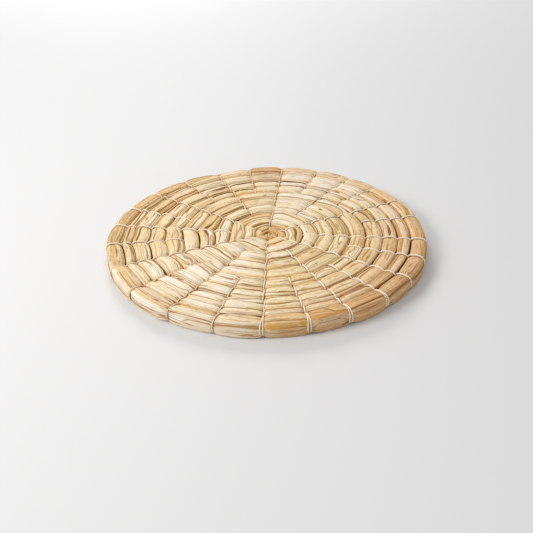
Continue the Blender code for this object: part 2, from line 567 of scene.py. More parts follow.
def smoothWave(draw):
    # A slow wave from -1 to 1 along the bundle.
    speeds = [2.0 * math.pi / length for length in leafLayout["waveLengths"]]
    parts = [(speed, draw.uniform(0.0, 2.0 * math.pi)) for speed in speeds]
    return lambda place: sum(math.sin(speed * place + phase) for speed, phase in parts) / len(parts)


def sectionAt(place):
    # (number of the section, share of the way along it)
    number = min(max(bisect.bisect_right(sectionEnds, place) - 1, 0), len(sectionEnds) - 2)
    here, following = sectionEnds[number], sectionEnds[number + 1]
    return number, min(max((place - here) / (following - here), 0.0), 1.0)


def laneEdge(edges, lane, place):
    # A lane's edge runs straight along a section's middle. At a stitch it is halfway to the next section's.
    number, share = sectionAt(place)
    turnedRound, lane = divmod(lane, leafLayout["lanes"])
    beside = min(max(number + (1 if share > 0.5 else -1), 0), len(edges) - 1)
    nearStitch = 1.0 - smoothStep(min(share, 1.0 - share) / leafLayout["straightFrom"])
    (here, slope), (there, thereSlope) = edges[number][lane], edges[beside][lane]
    here += slope * (share - 0.5)
    there += thereSlope * (number - beside) / 2.0
    edge = here + (there - here) / 2.0 * nearStitch
    return edge + turnedRound * leafLayout["lanes"]


def ringPlaces(begin, end, beginLength, endLength, stations):
    # Places of a leaf's rings: a few at each end, and the stations between them.
    shares = leafLayout["endRings"]
    own = [begin + share * beginLength for share in shares] + [end - share * endLength for share in shares]
    inside = stations[(stations > begin + beginLength) & (stations < end - endLength)]
    places = []
    for place in sorted([*own, *inside]):
        if not places or place - places[-1] > leafLayout["nearest"]:
            places.append(float(place))
    return places


def leafRing(turns, around, halfAngle, lift, tilt):
    # One point of a leaf's line, with the vectors that give the leaf's curve across the bundle there.
    middle = skinPoint(turns, around)
    one = skinPoint(turns, around - halfAngle)
    other = skinPoint(turns, around + halfAngle)
    side = (other - one) / 2.0
    reach = math.hypot(*side)
    lie = np.array((side[1], -side[0])) / reach
    bulge = middle - (one + other) / 2.0
    return {
        "place": coilMiddle + inSpace(turns, middle + lie * lift),
        "side": inSpace(turns, side + lie * tilt),
        "lie": inSpace(turns, lie),
        "bulge": inSpace(turns, bulge),
        "halfWidth": reach,
    }


def isHidden(turns, around):
    # True against a neighbouring turn's side, where nothing shows.
    outwards = math.cos(around)
    if abs(math.sin(around)) > math.sin(math.radians(leafLayout["hiddenDegrees"])):
        return False
    return outwards < 0.0 or not isAtRim(turns)


# The leaves' tones run from 0, brown, to 1, pale. They differ by side, in degrees from +X, and by turn.
leafTones = {
    "usual": 0.50,
    "spread": 0.13,
    "amberShare": 0.11,
    "amber": (0.2, 0.65),
    # On the rim: darker, partly the rim's own tone and partly painted shade where it turns from the lamps.
    "atRim": (
        (-180, -0.22), (-160, -0.22), (-120, -0.1), (-95, -0.22), (-60, -0.16), (-30, -0.26),
        (0, -0.1), (30, -0.02), (60, -0.12), (90, -0.24), (120, -0.26), (150, -0.1), (180, -0.22),
    ),
    # By side: partly painted light, lighter where the light falls more fully on the top.
    "byAngle": (
        (-180, 0.04), (-150, 0.02), (-120, 0.06), (-90, 0.06), (-60, 0.02), (-30, 0.0),
        (0, 0.05), (30, 0.05), (60, 0.02), (90, 0.0), (120, 0.05), (150, 0.04), (180, 0.04),
    ),
    "byTurn": ((0.3, -0.2), (1.2, 0.06), (3.0, 0.06), (5.0, 0.0)),
}

# Leaves that stand out: degrees from +X, metres from the rim's middle, tone and how amber it is.
oddLeaves = (
    (-165.0, 0.160, 0.66, 1.2),
    (-150.0, 0.160, 0.35, 0.95),
    (149.0, 0.073, 0.50, 0.75),
    (32.0, 0.120, 0.45, 0.90),
    (-108.0, 0.062, 0.70, 0.55),
    (-72.0, 0.184, 0.25, 1.3),
    (-87.0, 0.180, 0.50, 1.2),
    (3.0, 0.162, 0.20, 0.90),
    (-11.0, 0.158, 0.20, 0.95),
    (153.0, 0.151, 0.15, 0.55),
    (63.0, 0.080, 0.92, 0.0),
    (-146.0, 0.048, 0.92, 0.0),
)

# Where the leaves are whitened, partly faded pale and partly painted sheen, by degrees from +X and by metres
# from the rim's middle.
bleachAndSheenPart = {
    "byAngle": (
        (-180, 0.05), (-165, 0.2), (-155, 0.6), (-135, 0.8), (-110, 0.85), (-95, 0.4), (-85, 0.1),
        (-60, 0.1), (-40, 0.0), (0, 0.05), (15, 0.15), (40, 0.45), (52, 0.8), (75, 0.8),
        (85, 0.4), (100, 0.2), (120, 0.05), (180, 0.05),
    ),
    # The rim's wall is whitened most: a painted pool of light where the lamp falls on it.
    "byReach": (
        (0.0, 0.3), (0.02, 0.6), (0.05, 0.8), (0.1, 0.85), (0.15, 1.0), (0.17, 0.8), (0.183, 0.4),
        (0.187, 1.3),
    ),
}

# Where they are warmer and browner: partly their own tone, partly painted shade on the rim and the sides away
# from the lamps.
warmToneAndShadePart = {
    "byAngle": (
        (-180, 0.0), (-120, 0.0), (-90, 0.2), (-65, 0.9), (-30, 1.0), (0, 0.6), (30, 0.4),
        (60, 0.3), (90, 0.7), (120, 0.4), (150, 0.3), (180, 0.0),
    ),
    "byReach": ((0.0, 0.0), (0.11, 0.1), (0.15, 0.7), (0.175, 1.0), (0.19, 1.3)),
}


def partAt(part, place):
    reach = math.hypot(place[0], place[1])
    degrees = math.degrees(math.atan2(place[1], place[0]))
    return byAngle(part["byAngle"], degrees) * lookUp(part["byReach"], reach)


def leafTone(draw, turns):
    # (tone, how amber it is)
    tone = draw.gauss(leafTones["usual"], leafTones["spread"] * flatter(turns, 1.0, flatPart["toneSpread"]))
    tone += byAngle(leafTones["byAngle"], degreesAt(turns)) + lookUp(leafTones["byTurn"], turns)
    if isAtRim(turns):
        tone += byAngle(leafTones["atRim"], degreesAt(turns))
    amber = draw.uniform(*leafTones["amber"]) if draw.random() < leafTones["amberShare"] else 0.0
    return min(max(tone, 0.0), 1.0), amber


def layLeaf(draw, edges, stations, lane, first, past, isOpen):
    # The rings of a leaf from one section's start to another's. An open one ends early, on top of the next.
    layout = leafLayout
    laneAngle = 2.0 * math.pi / layout["lanes"]
    begin = max(sectionEnds[first] - draw.uniform(*layout["overlap"]), 0.0)
    end = min(sectionEnds[past] + draw.uniform(*layout["overlap"]), bundleLength)
    width = draw.uniform(*layout["width"])
    lift = draw.uniform(*layout["lift"])
    degrees = degreesAt(sectionTurns[first])
    isWide = draw.random() < byAngle(layout["wideShare"], degrees)
    if isWide:
        width = draw.uniform(*layout["wideWidth"])
        lift = draw.uniform(*layout["wideLift"])
    tilt = draw.uniform(*layout["tilt"]) * byAngle(layout["tiltShare"], degrees)
    tilt *= layout["rimTilt"] if isAtRim(sectionTurns[first]) else 1.0
    drift = draw.uniform(-layout["drift"], layout["drift"])
    sway, breathe = smoothWave(draw), smoothWave(draw)
    openShare = draw.uniform(*layout["openShare"])
    taper = draw.uniform(*layout["taperLength"])
    look = draw.uniform(*layout["looks"])
    endLength = layout["endLength"]
    if isOpen:
        end = sectionEnds[past] - openShare * (sectionEnds[past] - sectionEnds[past - 1])
        endLength = taper
        lift += layout["openLift"]
    middle = (begin + end) / 2.0
    middleTurns = turnsAlong(middle)
    tone, amber = leafTone(draw, middleTurns)
    rings = []
    hidden = []
    for place in ringPlaces(begin, end, layout["endLength"], endLength, stations):
        turns = turnsAlong(place)
        swell = swellAt(turns)[0]
        low, high = laneEdge(edges, lane, place), laneEdge(edges, lane + 1, place)
        lanes = (low + high) / 2.0 + drift * (place - middle) / (end - begin) + layout["wave"] * sway(place)
        around = lanes * laneAngle + math.radians(layout["twistDegrees"]) * place
        share = width * (high - low) * (1.0 + layout["widthWave"] * breathe(place))
        share *= layout["rimWidth"] if isAtRim(turns) and not isWide else 1.0
        raised = lift
        nearBegin = smoothStep((place - begin) / layout["endLength"])
        nearEnd = smoothStep((end - place) / endLength)
        if isOpen:
            share *= layout["tipWidth"] + (1.0 - layout["tipWidth"]) * nearEnd
            inside = nearBegin
        else:
            inside = nearBegin * nearEnd
        share *= layout["endWidth"] + (1.0 - layout["endWidth"]) * inside
        raised -= layout["endSunk"] * (1.0 - inside)
        puff = layout["pressedFlat"] + (1.0 - layout["pressedFlat"]) * swell
        puff *= layout["endRelief"] + (1.0 - layout["endRelief"]) * nearEnd * nearBegin
        puff *= flatter(turns, 1.0, flatPart["relief"])
        ring = leafRing(turns, around, share * laneAngle / 2.0, raised, tilt)
        ring.update({"along": place - begin, "puff": puff, "leaf": look, "tone": tone, "amber": amber})
        # How much painted shade a stitch puts on the leaf here.
        ring["pressed"] = 1.0 - swell
        ring["bleached"] = partAt(bleachAndSheenPart, ring["place"])
        ring["warm"] = partAt(warmToneAndShadePart, ring["place"])
        ring["calm"] = flatter(turns, 0.0, 1.0)
        rings.append(ring)
        hidden.append(isHidden(turns, around))
    return middleTurns, rings, all(hidden)


def layLeaves():
    # Every leaf as (turns at its middle, its rings).
    draw = random.Random(leafLayout["seed"])
    stations = lengthsAtStations()
    sections = len(sectionEnds) - 1
    lanes, jitter, slope = (leafLayout[name] for name in ("lanes", "edgeJitter", "edgeSlope"))
    edges = [
        [(lane + draw.uniform(-jitter, jitter), draw.uniform(-slope, slope)) for lane in range(lanes)]
        for _ in range(sections)
    ]
    leaves = []
    for lane in range(lanes):
        first = 0
        while first < sections:
            past = min(first + draw.choice(leafLayout["sectionsLong"]), sections)
            while past - first > 1 and sectionTurns[past] - sectionTurns[first] > leafLayout["longestTurns"]:
                past -= 1
            isOpen = draw.random() < leafLayout["openEnds"] and past - first > 1
            middleTurns, rings, hidden = layLeaf(draw, edges, stations, lane, first, past, isOpen)
            if not hidden:
                leaves.append((middleTurns, rings))
            first = past - 1 if isOpen else past
    return leaves


def colourOddLeaves(leaves):
    # Gives each odd tone to the leaf on top whose middle is nearest to its place.
    for degrees, reach, tone, amber in oddLeaves:
        angle = math.radians(degrees)
        target = np.array((reach * math.cos(angle), reach * math.sin(angle), coil["thickness"]))
        nearest = min(leaves, key=lambda leaf: np.linalg.norm(leaf[1][len(leaf[1]) // 2]["place"] - target))
        for ring in nearest[1]:
            ring["tone"] = tone
            ring["amber"] = amber


# What each point of a leaf's line carries besides its place.
leafVectors = ("side", "lie", "bulge")
leafNumbers = ("halfWidth", "along", "puff", "leaf", "tone", "amber", "pressed", "bleached", "warm", "calm")

# The form of one leaf, its lengths in metres. Folds run along it, and wrinkles lean either way.
leafForm = {
    "Points Across": 13,
    "Crown": 0.0006,
    "Crown Power": 2.5,
    "Edge Roll": 0.0011,
    "Roll Power": 7.0,
    "Fold Depth": 0.0005,
    "Folds a Metre": 260.0,
    "Fold Bends a Metre": 7.0,
    "Fold Sharpness": 5.0,
    "Wrinkle Depth": 0.0008,
    "Wrinkles a Metre": 140.0,
    "Wrinkles Across": 300.0,
    "Wrinkle Lean": 150.0,
    "Wrinkle Shift": 40.0,
    "Lean Change": 7.0,
    "Thickness": 0.0012,
}

# The least x, y and z that a leaf's points may have: just above the floor.
leafLimits = (-1.0, -1.0, 0.0001)


def leafTree():
    # Sweeps a leaf along each line: a low arch with folds along it, closed underneath.
    kinds = {name: "int" if name == "Points Across" else "float" for name in leafForm}
    tree, inputs = newNodeTree("layLeaf", {**kinds, "Material": "material"})
    curve = tree.node("GeometryNodeMeshToCurve", None, {"Mesh": inputs["Geometry"]})
    curve = store(tree, curve, "spine", tree.node("GeometryNodeInputPosition"), "FLOAT_VECTOR")
    count = inputs["Points Across"]
    arc = {"Resolution": count, "Radius": 1.0, "Start Angle": -math.pi / 2.0, "Sweep Angle": math.pi}
    profile = tree.node("GeometryNodeCurveArc", {"mode": "RADIUS"}, {**arc, "Connect Center": True})
    index = tree.node("GeometryNodeInputIndex")
    under = tree.work("GREATER_THAN", index, count - 0.5)
    profile = store(tree, profile, "under", under)
    acrossShare = tree.work("SINE", (index / (count - 1) - 0.5) * math.pi)
    profile = store(tree, profile, "across", acrossShare * (1 - under))
    sockets = {"Curve": curve, "Profile Curve": profile, "Fill Caps": True}
    mesh = tree.node("GeometryNodeCurveToMesh", None, sockets)
    across, below = named(tree, "across"), named(tree, "under")
    along, leaf, puff, halfWidth = (named(tree, name) for name in ("along", "leaf", "puff", "halfWidth"))
    spine, side, lie, bulge = (named(tree, name, "FLOAT_VECTOR") for name in ("spine", *leafVectors))
    sideways = across * halfWidth
    foldPlace = tree.vector(sideways * inputs["Folds a Metre"], along * inputs["Fold Bends a Metre"], leaf)
    ribs = tree.work("MINIMUM", abs(tree.noise(foldPlace) - 0.5) * inputs["Fold Sharpness"], 1.0)
    lean = along * tree.work("SINE", leaf * inputs["Lean Change"]) * inputs["Wrinkle Lean"]
    shifted = leaf + inputs["Wrinkle Shift"]
    wrinkleSide = sideways * inputs["Wrinkles Across"] + lean
    wrinklePlace = tree.vector(wrinkleSide, along * inputs["Wrinkles a Metre"], shifted)
    wrinkles = tree.noise(wrinklePlace, detail=2.0) - 0.5
    edge = across**2
    roll = inputs["Edge Roll"] * edge ** inputs["Roll Power"]
    height = inputs["Crown"] * (1 - edge ** inputs["Crown Power"]) - roll
    height = height + inputs["Fold Depth"] * (ribs - 0.5) * (1 - edge**2)
    height = (height + inputs["Wrinkle Depth"] * wrinkles) * puff
    height = height * (1 - below) - below * inputs["Thickness"] * puff
    place = tree.work("MAXIMUM", spine + side * across - bulge * edge + lie * height, leafLimits)
    mesh = tree.node("GeometryNodeSetPosition", None, {"Geometry": mesh, "Position": place})
    mesh = store(tree, mesh, "leafMap", tree.vector(sideways, along, 0.0), "FLOAT2", "CORNER")
    endTree(tree, mesh, inputs["Material"], ("spine", *leafVectors, "under", "halfWidth", "along", "puff"))
    return tree.nodeTree


# The bundle's inside, which shows as dark lines between leaves. Its sides and faces lie this far inside the
# bundle's form, in metres, but it keeps at least a share of the bundle's size.
core = {
    "sides": 14,
    "fullness": 0.85,
    "sunkSides": 0.0003,
    "sunkFaces": 0.0009,
    "leastShare": 0.4,
    # Partly the inner leaves' own dark brown, and partly painted shade for the gaps between leaves.
    "dark": (0.17, 0.08, 0.025),
    "pale": (0.32, 0.17, 0.06),
    "specksAMetre": 900.0,
}


def circle(tree, inputs):
    sockets = {"Resolution": inputs["Sides"], "Radius": 1.0}
    return tree.node("GeometryNodeCurvePrimitiveCircle", None, sockets)


def coreRings():
    rings = []
    for place in lengthsAtStations():
        turns = turnsAlong(place)
        middle, (halfWidth, halfHeight) = bundleHalves(turns)
        sunkWidth = max(halfWidth - core["sunkSides"], core["leastShare"] * halfWidth)
        sunkHeight = max(halfHeight - core["sunkFaces"], core["leastShare"] * halfHeight)
        rings.append({
            "place": coilMiddle + inSpace(turns, middle),
            "side": inSpace(turns, (sunkWidth, 0.0)),
            "up": inSpace(turns, (0.0, sunkHeight)),
        })
    return rings


def coreTree():
    tree, inputs = newNodeTree("fillBundle", {"Sides": "int", "Fullness": "float", "Material": "material"})
    curve = tree.node("GeometryNodeMeshToCurve", None, {"Mesh": inputs["Geometry"]})
    curve = store(tree, curve, "spine", tree.node("GeometryNodeInputPosition"), "FLOAT_VECTOR")
    profile = circle(tree, inputs)
    corner = tree.split(tree.node("GeometryNodeInputPosition"))
    full = [tree.work("SIGN", part) * abs(part) ** inputs["Fullness"] for part in corner[:2]]
    profile = store(tree, profile, "outwards", full[0])
    profile = store(tree, profile, "upwards", full[1])
    sockets = {"Curve": curve, "Profile Curve": profile, "Fill Caps": True}
    mesh = tree.node("GeometryNodeCurveToMesh", None, sockets)
    spine, side, up = (named(tree, name, "FLOAT_VECTOR") for name in ("spine", "side", "up"))
    place = spine + side * named(tree, "outwards") + up * named(tree, "upwards")
    mesh = tree.node("GeometryNodeSetPosition", None, {"Geometry": mesh, "Position": place})
    endTree(tree, mesh, inputs["Material"], ("spine", "side", "up", "outwards", "upwards"))
    return tree.nodeTree


# The twine that sews each turn to the one before. Lengths are in metres, and tables are by degrees from +X.
twine = {
    "radius": 0.00085,
    "thicker": (
        (-180, 1.25), (-150, 1.05), (-120, 0.85), (-90, 0.9), (-60, 1.2), (-30, 1.25), (0, 1.2),
        (30, 1.0), (60, 0.9), (90, 1.0), (120, 1.0), (150, 1.2), (180, 1.25),
    ),
    # Painted shade: how much darker and warmer it is where it lies in shadow, by side.
    "tanned": (
        (-180, 0.1), (-160, 0.45), (-140, 0.75), (-120, 0.6), (-105, 0.3), (-90, 0.2), (-60, 0.0),
        (30, 0.0), (60, 0.4), (100, 0.6), (130, 0.4), (150, 0.1), (180, 0.1),
    ),
    "proud": 0.0011,  # how far its middle lies outside the drawn-in bundle
    "bite": 0.0022,  # how far a loop reaches into the turn before, from this turn outwards
    "biteFromTurn": 1.0,
    "slant": 0.0009,  # how far a loop leans along the bundle, either way
    "jitter": 0.0009,
    "pointsRound": 30,
    "doubleLines": (3, 4, 5, 6),  # sewing lines whose rim loop is wound twice, in a narrow V
    "doubleWidth": 0.0030,
    "doubleShare": 0.12,  # share of the other rim loops that are wound twice, side by side
    "spacing": 0.0011,
    "sides": 6,
    "seed": 5,
}


def stitchLoop(turns, shift, spread):
    # One loop of twine round the bundle and through the side of the turn before, from the underside round. It
    # leans along the bundle from the inner side to the outer side.
    rings = []
    reach = bundleHalves(turns)[0][0]
    thick = twine["radius"] * byAngle(twine["thicker"], degreesAt(turns))
    tanned = byAngle(twine["tanned"], degreesAt(turns))
    for k in range(twine["pointsRound"]):
        around = 2.0 * math.pi * k / twine["pointsRound"] - math.pi / 2.0
        outwards = math.cos(around)
        along = shift + twine["slant"] * outwards + spread * (1.0 + outwards) / 2.0
        flat = skinPoint(turns, around, -twine["proud"])
        flat[1] = max(flat[1], thick)
        if turns > twine["biteFromTurn"]:
            flat[0] += twine["bite"] * min(outwards, 0.0)
        place = turns + along / (2.0 * math.pi * reach)
        rings.append({"place": coilMiddle + inSpace(place, flat), "thick": thick, "tanned": tanned})
    return rings


def sewLoops():
    draw = random.Random(twine["seed"])
    loops = []
    for turns, line in stitches:
        shift = draw.uniform(-twine["jitter"], twine["jitter"])
        isDouble = draw.random() < twine["doubleShare"]
        ways = [(shift, 0.0)]
        if isAtRim(turns) and line in twine["doubleLines"]:
            ways = [(shift, twine["doubleWidth"] / 2.0), (shift, -twine["doubleWidth"] / 2.0)]
        elif isAtRim(turns) and isDouble:
            ways = [(shift - twine["radius"], 0.0), (shift + twine["radius"], 0.0)]
        loops += [stitchLoop(turns, *way) for way in ways]
    return loops


def twineTree():
    tree, inputs = newNodeTree("sew", {"Spacing": "float", "Sides": "int", "Material": "material"})
    curve = tree.node("GeometryNodeMeshToCurve", None, {"Mesh": inputs["Geometry"]})
    resample = {"Curve": curve, "Length": inputs["Spacing"]}
    curve = tree.node("GeometryNodeResampleCurve", {"mode": "LENGTH"}, resample)
    curve = store(tree, curve, "along", tree.node("GeometryNodeSplineParameter", None, None, "Length"))
    turned = tree.node("GeometryNodeSplineParameter", None, None, "Factor")
    profile = store(tree, circle(tree, inputs), "round", turned)
    sockets = {"Curve": curve, "Profile Curve": profile, "Scale": named(tree, "thick")}
    mesh = tree.node("GeometryNodeCurveToMesh", None, sockets)
    strand = tree.vector(named(tree, "round"), named(tree, "along"), 0.0)
    mesh = store(tree, mesh, "twineMap", strand, "FLOAT2", "CORNER")
    endTree(tree, mesh, inputs["Material"], ("round", "along", "thick"))
    return tree.nodeTree


# Each material's roughness and specular level.
finishes = {
    "dried_leaves": (0.5, 0.1),
    "bundle_inside": (0.8, 0.2),
    "pale_twine": (0.75, 0.25),
    "pale_floor": (0.7, 0.2),
}
bumpStrength = 0.8


def newMaterial(name):
    material = bpy.data.materials.new(name)
    material.use_nodes = True
    shader = material.node_tree.nodes["Principled BSDF"]
    for socket, value in zip(("Roughness", "Specular IOR Level"), finishes[name]):
        shader.inputs[socket].default_value = value
    return material, Tree(material.node_tree), shader


def feed(tree, shader, name, value):
    tree.nodeTree.links.new(value.socket, shader.inputs[name])


def emboss(tree, shader, height, distance):
    sockets = {"Height": height, "Strength": bumpStrength, "Distance": distance}
    feed(tree, shader, "Normal", tree.node("ShaderNodeBump", None, sockets))


# Colours are linear red, green and blue. The painted shade on the bundle's sides and the browner tint are
# multiplied by the leaf's own colour.
leafColours = {
    "palette": (
        (0.00, (0.40, 0.20, 0.06)),
        (0.15, (0.54, 0.315, 0.095)),
        (0.35, (0.69, 0.465, 0.175)),
        (0.52, (0.775, 0.58, 0.28)),
        (0.68, (0.82, 0.69, 0.44)),
        (0.84, (0.85, 0.775, 0.615)),
        (1.00, (0.88, 0.83, 0.73)),
    ),
    # Painted shade towards the leaves' sides.
    "side": (0.58, 0.36, 0.12),
    # Dark lines of the leaves' own, and painted shade along their edges, in fold valleys and at stitches.
    "edge": (0.40, 0.20, 0.06),
    # Painted shade in narrow gaps between leaves.
    "slit": (0.22, 0.095, 0.025),
    "stain": (0.58, 0.32, 0.10),
    # Painted shade deep in the grooves between turns.
    "groove": (0.44, 0.22, 0.055),
    # Painted shade: a warmer, darker tint on the bundle's sides.
    "hollow": (0.95, 0.78, 0.54),
    "burnt": (0.58, 0.27, 0.06),
    "amber": (0.88, 0.56, 0.15),
    # Pale fibres, and a painted highlight on the leaves' shoulders.
    "bleach": (0.92, 0.83, 0.67),
    # The whitening: partly faded leaves, partly painted sheen.
    "white": (0.89, 0.845, 0.765),
    # The browner tint, partly painted shade.
    "warmthAndShade": (0.94, 0.83, 0.85),
}

# Patterns on a leaf: how often each changes in a metre across and along it, how far it leans, its shift, its
# detail and its roughness.
leafPatterns = {
    "fibres": (2600.0, 45.0, 0.0, 0.0, 2.0, 0.6),
    "grain": (1300.0, 260.0, 0.0, 73.0, 1.0, 0.5),
    "streaks": (900.0, 24.0, 0.0, 37.0, 2.0, 0.6),
    "crinkles": (600.0, 360.0, 260.0, 61.0, 2.0, 0.6),
    "bands": (420.0, 12.0, 0.0, 13.0, 1.0, 0.5),
    "patches": (150.0, 35.0, 0.0, 29.0, 2.0, 0.6),
    "stains": (260.0, 60.0, 0.0, 51.0, 2.0, 0.6),
    "paleness": (150.0, 24.0, 0.0, 87.0, 2.0, 0.55),
    "folds": (leafForm["Folds a Metre"], leafForm["Fold Bends a Metre"], 0.0, 0.0, 1.0, 0.5),
    "cracks": (90.0, 25.0, 0.0, 19.0, 1.0, 0.5),
    "specks": (1300.0, 190.0, 0.0, 0.0, 1.0, 0.5),
    "slitShadows": (620.0, 70.0, 0.0, 5.0, 1.0, 0.5),
}

# How a leaf's colour is made up. A pair for a pattern is where it comes in, from none to full.
leafPaint = {
    "toneShares": {"patches": 0.35, "bands": 0.22, "streaks": 0.3, "crinkles": 0.4, "grain": 0.9},
    "calmStreaks": 0.45,  # how much weaker the streaks and the crinkles are where the bundle lies flat
    "calmCrinkles": 0.75,
    "evenedUnderBleachAndSheen": 0.4,  # how much weaker the patches and the bands are where faded leaves and painted sheen whiten them
    "amberPatches": (0.15, 0.6),
    "paleness": (0.36, 0.64),
    "whiteShares": (0.42, 0.5),  # how white a whitened leaf is everywhere, and how much more in pale places
    "stains": (0.62, 0.78),
    "stainShares": (0.4, 0.25),  # how strong stains are, and how much weaker where the leaves are whitened
    "roughness": (0.42, 0.25),  # the least, and how much the fibres add
    "reliefShares": {"creases": -1.6, "crinkles": 2.5, "grain": 1.6},
    "reliefHeight": 0.00012,
}

creaseRanges = (("fold", 0.04, 0.008), ("cracks", 0.40, 0.56))
rimRange = ("reach", 0.183, 0.180)

# Marks on a leaf, in the order in which they are laid on: the colour, its share, and the measures that bring
# it in, each from none at the first number to full at the second.
leafMarks = (
    ("bleach", 0.2, (("fibres", 0.4, 0.8),)),
    ("edge", 0.4, (("fibres", 0.42, 0.2),)),
    # Painted shade: dark lines in the valleys of the folds.
    ("edge", 0.95, creaseRanges),
    ("edge", 0.6, (("specks", 0.67, 0.75),)),
    # Painted shade: narrow dark gaps between leaves.
    ("slit", 0.85, (("slitShadows", 0.685, 0.735),)),
    # A painted highlight on each leaf's raised shoulders, partly a paler rubbed shoulder.
    ("bleach", 0.22, (("fromLine", 0.4, 0.62), ("fromLine", 0.82, 0.7))),
    # Painted shade towards each leaf's sides.
    ("side", 0.3, (("fromLine", 0.7, 1.0),)),
    # Painted shade: dark lines along each leaf's edges, where it meets the next.
    ("edge", 0.9, (("fromLine", 0.82, 0.96),)),
    # Painted shade on the bundle's sides, between its top and bottom, where the grooves between turns are,
    # save on the rim's outer wall.
    ("hollow", 1.0, (("fromMiddle", 0.0080, 0.0052), rimRange)),
    # Painted shade lower down the bundle's sides, deeper in the grooves between turns, save on the rim's
    # outer wall.
    ("groove", 0.5, (("fromMiddle", 0.0066, 0.0036), rimRange)),
    # Painted shade where a stitch draws the leaves in.
    ("edge", 0.5, (("pressed", 0.35, 1.0),)),
)


def leafMeasures(tree):
    # Everything that a leaf's look depends on, by name: its attributes, its patterns and its place.
    attributes = ("leaf", "tone", "amber", "pressed", "bleached", "warm", "calm")
    measures = {name: tree.attribute(name) for name in attributes}
    sideways, along = tree.split(tree.node("ShaderNodeUVMap", {"uv_map": "leafMap"}))[:2]
    leaf = measures["leaf"]
    lean = along * tree.work("SINE", leaf * leafForm["Lean Change"])
    for name, (across, lengthwise, leaning, shift, detail, roughness) in leafPatterns.items():
        side = sideways * across + lean * leaning if leaning else sideways * across
        measures[name] = tree.noise(tree.vector(side, along * lengthwise, leaf + shift), detail, roughness)
    measures["fold"] = abs(measures["folds"] - 0.5)
    measures["fromLine"] = abs(tree.attribute("across"))
    spot = tree.objectPlace()
    level = spot * Vector((1.0, 1.0, 0.0))
    measures["reach"] = tree.node("ShaderNodeVectorMath", {"operation": "LENGTH"}, {0: level}, "Value")
    measures["fromMiddle"] = abs(tree.split(spot)[2] - coil["thickness"] / 2.0)
    return measures


def maskFrom(tree, measures, ranges, share):
    # The share, wherever every measure is at the high end of its range.
    for name, low, high in ranges:
        share = tree.between(low, high, measures[name]) * share
    return share


def leafMaterial():
    material, tree, shader = newMaterial("dried_leaves")
    paint = leafPaint
    measures = leafMeasures(tree)
    bleached, amber, calm = (measures[name] for name in ("bleached", "amber", "calm"))
    even = 1 - bleached * paint["evenedUnderBleachAndSheen"]
    crinkled = 1 - calm * paint["calmCrinkles"]
    lively = 1 - calm * paint["calmStreaks"]
    weights = {"patches": even, "bands": even, "streaks": lively, "crinkles": crinkled}
    shade = measures["tone"]
    for name, share in paint["toneShares"].items():
        shade = shade + (measures[name] - 0.5) * share * weights.get(name, 1.0)
    colour = tree.node("ShaderNodeValToRGB", {"stops": leafColours["palette"]}, {"Fac": shade}, "Color")
    tanned = tree.blend(shade, leafColours["burnt"], leafColours["amber"])
    colour = tree.blend(amber * tree.between(*paint["amberPatches"], measures["patches"]), colour, tanned)
    # Whitened where the leaves are faded pale, and where a sheen is painted on.
    everywhere, inPlaces = paint["whiteShares"]
    whitened = everywhere + tree.between(*paint["paleness"], measures["paleness"]) * inPlaces
    colour = tree.blend(bleached * whitened * (1 - amber), colour, leafColours["white"])
    usual, less = paint["stainShares"]
    stained = tree.between(*paint["stains"], measures["stains"]) * (usual - bleached * less)
    colour = tree.blend(stained, colour, leafColours["stain"])
    for name, share, ranges in leafMarks:
        painted = colour * leafColours[name] if name == "hollow" else leafColours[name]
        colour = tree.blend(maskFrom(tree, measures, ranges, share), colour, painted)
    # Browner where that tint is: partly the leaves' own tone, partly painted shade.
    colour = tree.blend(measures["warm"], colour, colour * leafColours["warmthAndShade"])
    feed(tree, shader, "Base Color", colour)
    least, more = paint["roughness"]
    feed(tree, shader, "Roughness", least + measures["fibres"] * more)
    measures["creases"] = maskFrom(tree, measures, creaseRanges, 1.0)
    measures["crinkles"] = measures["crinkles"] * crinkled
    relief = measures["fibres"]
    for name, share in paint["reliefShares"].items():
        relief = relief + measures[name] * share
    emboss(tree, shader, relief, paint["reliefHeight"])
    return material


def coreMaterial():
    material, tree, shader = newMaterial("bundle_inside")
    specks = tree.noise(tree.objectPlace() * core["specksAMetre"], detail=2.0)
    feed(tree, shader, "Base Color", tree.blend(specks, core["dark"], core["pale"]))
    return material


# The twine's look. The tint for painted shade is multiplied by its own colour.
twineLook = {
    "plies": 2.0,
    "twistsAMetre": 420.0,
    "plyRange": (-1.0, 0.2),
    "shaded": (0.68, 0.47, 0.27),
    "lit": (0.97, 0.89, 0.75),
    "fluffAMetre": 1500.0,
    "fluffShare": 0.4,
    "fluff": (0.97, 0.93, 0.84),
    "shadeTint": (0.85, 0.70, 0.48),
    "plyShare": 0.5,
    "height": 0.00025,
}


def twineMaterial():
    material, tree, shader = newMaterial("pale_twine")
    look = twineLook
    turned, along = tree.split(tree.node("ShaderNodeUVMap", {"uv_map": "twineMap"}))[:2]
    plies = tree.work("SINE", (turned * look["plies"] + along * look["twistsAMetre"]) * (2.0 * math.pi))
    fluff = tree.noise(tree.objectPlace() * look["fluffAMetre"], detail=2.0) * look["fluffShare"]
    colour = tree.blend(tree.between(*look["plyRange"], plies), look["shaded"], look["lit"])
    colour = tree.blend(fluff, colour, look["fluff"])
    # Painted shade on the sides where the twine lies in shadow.
    colour = tree.blend(tree.attribute("tanned"), colour, colour * look["shadeTint"])
    feed(tree, shader, "Base Color", colour)
    emboss(tree, shader, plies * look["plyShare"] + fluff, look["height"])
    return material


def settle(piece):
    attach(piece, "root")
    return piece


# The leaves are kept in pieces, each with the leaves whose middles lie on the turns up to this one.
leafPieces = (
    ("leaves_middle", 5.2),
    ("leaves_turns_6_7", 7.3),
    ("leaves_turns_8_9", 8.95),
    ("leaves_outside", math.inf),
)


